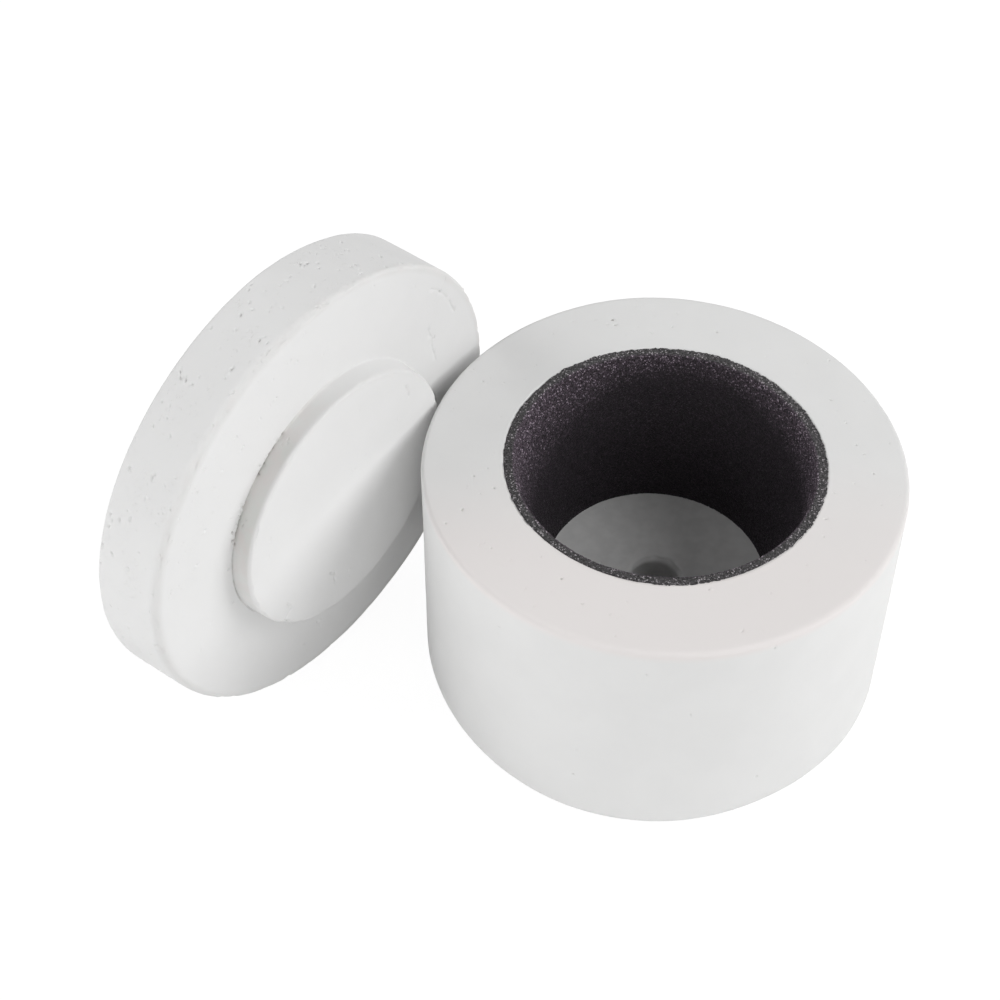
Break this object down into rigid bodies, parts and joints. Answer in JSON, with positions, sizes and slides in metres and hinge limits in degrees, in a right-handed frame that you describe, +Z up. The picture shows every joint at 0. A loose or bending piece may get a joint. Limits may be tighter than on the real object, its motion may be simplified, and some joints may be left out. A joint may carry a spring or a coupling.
{
  "type": "microwave kiln",
  "caption": "Small round microwave kiln: thick ceramic-fibre chamber with a tapered, dark grit-lined cavity and a vent, and a loose round base plate with a raised platform.",
  "frame": {"origin": "centre of the vent at the chamber's closed end, on the surface that the chamber stands on", "axes": "+Z up the chamber's axis towards its open rim; +X the way the base plate's platform faces as it stands on edge; +Y by the right-hand rule, so the base plate's centre is to the -Y side"},
  "size_m": [0.1428, 0.1728, 0.121],
  "materials": {
    "chamber_fibre": "matt vacuum-formed ceramic fibre, faintly pink, with fine pits",
    "liner_grit": "coarse silicon carbide grit, matt with small sparkles",
    "base_fibre": "matt vacuum-formed ceramic fibre with fine pits and scratches"
  },
  "bodies": {
    "kiln_chamber": {"chamber": "chamber_fibre", "heating_liner": "liner_grit"},
    "kiln_base": {"base_plate": "base_fibre"}
  },
  "joints": [
    {"name": "base_tip", "type": "hinge", "parent": "kiln_chamber", "child": "kiln_base", "pos_m": [-0.08285, -0.0523, 0], "axis": [0, -1, 0], "range_deg": [0, 90]}
  ]
}
